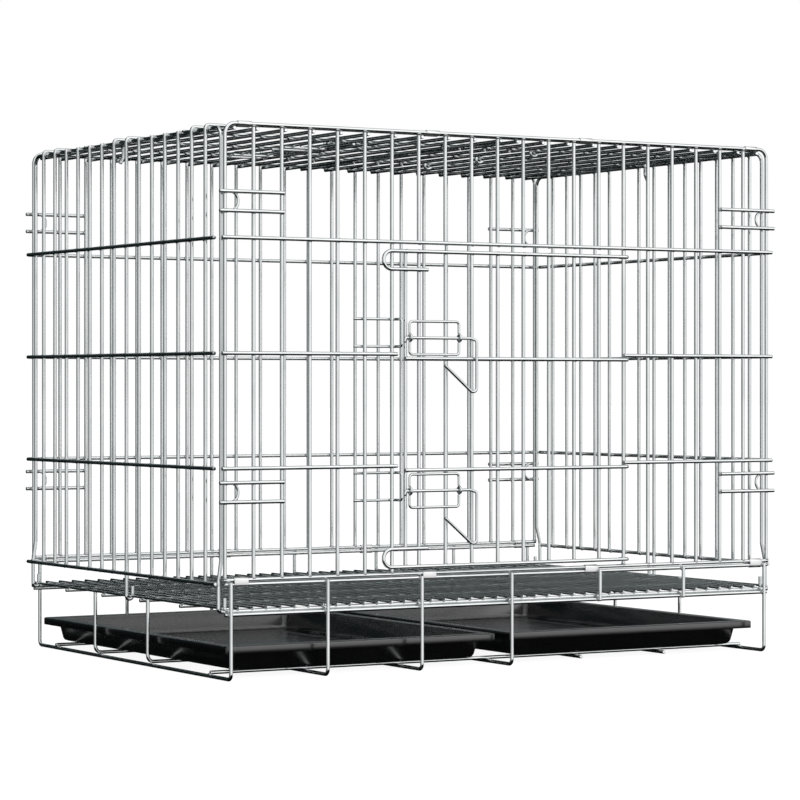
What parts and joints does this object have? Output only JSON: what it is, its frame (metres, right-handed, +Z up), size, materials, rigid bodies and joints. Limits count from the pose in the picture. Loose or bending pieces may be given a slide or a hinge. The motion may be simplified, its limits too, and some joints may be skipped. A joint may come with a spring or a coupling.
{
  "type": "folding chicken coop",
  "caption": "Folding chicken coop of welded zinc-plated wire on a wire stand, with a bolted front door, a top door, hook-on side panels and black plastic slide-out trays",
  "frame": {"origin": "on the ground, under the middle of the coop", "axes": "+X to the right seen from the front door, +Y to the rear, +Z up"},
  "size_m": [0.6166, 0.4314, 0.4992],
  "materials": {
    "plated_wire": "bright zinc plating",
    "clip_steel": "bright plated sheet",
    "tray_plastic": "satin moulded"
  },
  "bodies": {
    "base": {"floor_cross_wires": "plated_wire", "floor_long_wires": "plated_wire", "stand_bay_legs": "plated_wire", "stand_bay_posts": "plated_wire", "stand_legs": "plated_wire", "stand_rails": "plated_wire", "stand_runners": "plated_wire", "stand_side_legs": "plated_wire", "front_bottom_clips": "clip_steel", "rear_bottom_clips": "clip_steel"},
    "front_panel": {"front_outer_wire": "plated_wire", "front_bottom_wire": "plated_wire", "front_uprights": "plated_wire", "front_cross_wires": "plated_wire", "front_corner_guides": "plated_wire", "front_corner_rings": "plated_wire", "front_door_catches": "plated_wire"},
    "front_door": {"front_door_hairpins": "plated_wire", "front_door_cross_wires": "plated_wire", "front_door_uprights": "plated_wire", "front_door_bolt_guides": "plated_wire", "front_door_bolt_eyes": "plated_wire"},
    "front_upper_bolt": {"front_upper_bolt": "plated_wire"},
    "front_lower_bolt": {"front_lower_bolt": "plated_wire"},
    "rear_panel": {"rear_outer_wire": "plated_wire", "rear_bottom_wire": "plated_wire", "rear_uprights": "plated_wire", "rear_cross_wires": "plated_wire", "rear_corner_guides": "plated_wire", "rear_corner_rings": "plated_wire"},
    "left_panel": {"left_bottom_wire": "plated_wire", "left_cross_wires": "plated_wire", "left_hook_uprights": "plated_wire", "left_outer_wire": "plated_wire", "left_uprights": "plated_wire"},
    "right_panel": {"right_bottom_wire": "plated_wire", "right_cross_wires": "plated_wire", "right_hook_uprights": "plated_wire", "right_outer_wire": "plated_wire", "right_uprights": "plated_wire"},
    "top_panel": {"top_edge_wires": "plated_wire", "top_long_wires": "plated_wire", "top_cross_wires": "plated_wire", "top_door_catches": "plated_wire", "top_hook_tails": "plated_wire", "top_front_clips": "clip_steel", "top_rear_clips": "clip_steel"},
    "top_door": {"top_door_hairpins": "plated_wire", "top_door_cross_wire": "plated_wire", "top_door_uprights": "plated_wire", "top_door_bolt_guides": "plated_wire", "top_door_bolt_eyes": "plated_wire"},
    "top_rear_bolt": {"top_rear_bolt": "plated_wire"},
    "top_front_bolt": {"top_front_bolt": "plated_wire"},
    "left_tray": {"left_tray": "tray_plastic"},
    "right_tray": {"right_tray": "tray_plastic"}
  },
  "joints": [
    {"name": "fold", "type": "hinge", "parent": "base", "child": "front_panel", "pos_m": [0, -0.20693, 0.0896], "axis": [-1, 0, 0], "range_deg": [0, 80]},
    {"name": "top_fold", "type": "hinge", "parent": "front_panel", "child": "top_panel", "pos_m": [0, -0.20693, 0.4944], "axis": [-1, 0, 0], "range_deg": [-80, 0]},
    {"name": "rear_fold", "type": "hinge", "parent": "base", "child": "rear_panel", "pos_m": [0, 0.20907, 0.0896], "axis": [-1, 0, 0], "range_deg": [0, 80]},
    {"name": "left_fold", "type": "hinge", "parent": "base", "child": "left_panel", "pos_m": [-0.3002, 0.00107, 0.0646], "axis": [0, -1, 0], "range_deg": [0, 95]},
    {"name": "right_fold", "type": "hinge", "parent": "base", "child": "right_panel", "pos_m": [0.3002, 0.00107, 0.0646], "axis": [0, 1, 0], "range_deg": [0, 95]},
    {"name": "front_door_swing", "type": "hinge", "parent": "front_panel", "child": "front_door", "pos_m": [0.12857, -0.20693, 0.2404], "axis": [0, 0, 1], "range_deg": [0, 160]},
    {"name": "front_upper_bolt_slide", "type": "slide", "parent": "front_door", "child": "front_upper_bolt", "axis": [-1, 0, 0], "range_m": [0, 0.009]},
    {"name": "front_lower_bolt_slide", "type": "slide", "parent": "front_door", "child": "front_lower_bolt", "axis": [-1, 0, 0], "range_m": [0, 0.009]},
    {"name": "top_door_swing", "type": "hinge", "parent": "top_panel", "child": "top_door", "pos_m": [0.095, -0.00193, 0.4905], "axis": [0, 1, 0], "range_deg": [0, 110]},
    {"name": "top_rear_bolt_slide", "type": "slide", "parent": "top_door", "child": "top_rear_bolt", "axis": [-1, 0, 0], "range_m": [0, 0.009]},
    {"name": "top_front_bolt_slide", "type": "slide", "parent": "top_door", "child": "top_front_bolt", "axis": [-1, 0, 0], "range_m": [0, 0.009]},
    {"name": "right_tray_slide", "type": "slide", "parent": "base", "child": "right_tray", "axis": [0, -1, 0], "range_m": [0, 0.36]},
    {"name": "left_tray_slide", "type": "slide", "parent": "base", "child": "left_tray", "axis": [1, 0, 0], "range_m": [0, 0.012]}
  ],
  "couplings": [
    {"joint": "top_fold", "follows": "fold", "ratio": -1},
    {"joint": "rear_fold", "follows": "fold", "ratio": 1},
    {"joint": "left_fold", "follows": "fold", "ratio": 1.1875},
    {"joint": "right_fold", "follows": "fold", "ratio": 1.1875}
  ]
}
